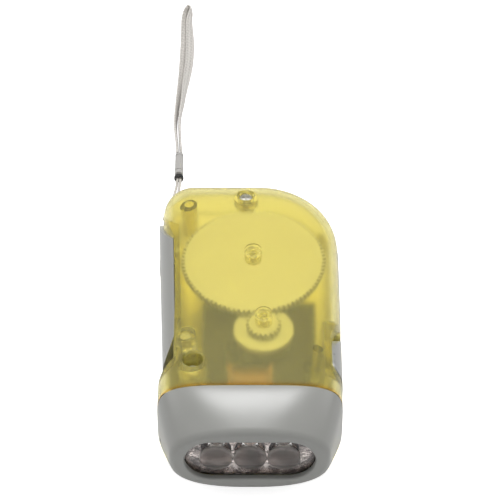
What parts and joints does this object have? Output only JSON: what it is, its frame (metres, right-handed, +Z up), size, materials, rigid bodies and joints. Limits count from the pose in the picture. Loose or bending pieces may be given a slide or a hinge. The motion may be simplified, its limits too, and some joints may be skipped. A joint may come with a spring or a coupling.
{
  "type": "squeeze lever dynamo torch",
  "caption": "Flat hand-held torch charged by squeezing a side lever that spins a geared dynamo, with lamps behind a clear window, a slide switch and a wrist strap.",
  "frame": {"origin": "on the flat underside, midway across the case and 54.5 mm behind the lamp face", "axes": "+X to the side with the switch, +Y from the lamps to the tail, +Z up through the broad faces"},
  "size_m": [0.0576, 0.2259, 0.035],
  "materials": {
    "clear_yellow": "polished translucent plastic",
    "satin_grey": "satin moulded plastic",
    "clear_window": "polished clear plastic",
    "mirror_cups": "vacuum metallised",
    "lamp_epoxy": "clear epoxy",
    "board_green": "solder mask",
    "white_nylon": "moulded nylon",
    "bright_steel": "bright drawn steel",
    "magnet_black": "sintered ferrite",
    "core_steel": "stacked steel sheets",
    "bobbin_orange": "moulded plastic",
    "copper_wire": "enamelled copper",
    "black_plastic": "moulded plastic",
    "cell_wrap": "shrink wrap",
    "tinned_strip": "tinned",
    "red_wire": "wire insulation",
    "black_wire": "wire insulation",
    "strap_weave": "flat braid",
    "strap_clamp": "moulded plastic",
    "black_rubber": "soft rubber"
  },
  "bodies": {
    "case": {"upper_shell": "clear_yellow", "lower_shell": "clear_yellow", "head_bezel": "satin_grey", "lens_cover": "clear_window", "reflector": "mirror_cups", "led_1": "lamp_epoxy", "led_2": "lamp_epoxy", "led_3": "lamp_epoxy", "led_board": "board_green", "lever_pin": "bright_steel", "lever_spring": "bright_steel", "stator_core": "core_steel", "coil_bobbin": "bobbin_orange", "coil_winding": "copper_wire", "tail_screw": "bright_steel", "head_screw": "bright_steel", "switch_body": "black_plastic", "side_strip": "satin_grey", "battery_cell_1": "cell_wrap", "battery_cell_2": "cell_wrap", "battery_cell_3": "cell_wrap", "battery_tab_front": "tinned_strip", "battery_tab_rear": "tinned_strip", "control_board": "board_green", "capacitor": "black_plastic", "diode_1": "black_plastic", "diode_2": "black_plastic", "diode_3": "black_plastic", "diode_4": "black_plastic", "lamp_wire_1": "red_wire", "lamp_wire_2": "black_wire", "battery_wire": "red_wire", "switch_wire": "black_wire", "strap_string_1": "strap_weave", "strap_string_2": "strap_weave", "strap_ring": "black_rubber", "strap_sleeve": "strap_clamp", "strap_band": "strap_weave"},
    "lever": {"lever": "satin_grey", "sector_gear": "white_nylon"},
    "latch": {"latch_slide": "satin_grey"},
    "drive": {"drive_gear": "white_nylon", "drive_pinion": "white_nylon", "drive_axle": "bright_steel"},
    "rotor": {"rotor_pinion": "white_nylon", "rotor_axle": "bright_steel", "flywheel": "white_nylon", "rotor_magnet": "magnet_black"},
    "switch": {"switch_knob": "satin_grey", "switch_actuator": "black_plastic"}
  },
  "joints": [
    {"name": "lever_hinge", "type": "hinge", "parent": "case", "child": "lever", "pos_m": [-0.01936, -0.017, 0.0175], "axis": [0, 0, 1], "range_deg": [0, 18]},
    {"name": "drive_spin", "type": "hinge", "parent": "case", "child": "drive", "pos_m": [0.001, 0.0165, 0.0175], "axis": [0, 0, 1], "range_deg": [-160, 0]},
    {"name": "rotor_spin", "type": "hinge", "parent": "case", "child": "rotor", "pos_m": [0.0042, -0.01031, 0.0175], "axis": [0, 0, 1], "range_deg": [0, 700]},
    {"name": "latch_travel", "type": "slide", "parent": "lever", "child": "latch", "axis": [0, 1, 0], "range_m": [0, 0.003]},
    {"name": "switch_travel", "type": "slide", "parent": "case", "child": "switch", "axis": [0, 1, 0], "range_m": [0, 0.003]}
  ],
  "couplings": [
    {"joint": "drive_spin", "follows": "lever_hinge", "ratio": -8.8},
    {"joint": "rotor_spin", "follows": "lever_hinge", "ratio": 38.72}
  ]
}
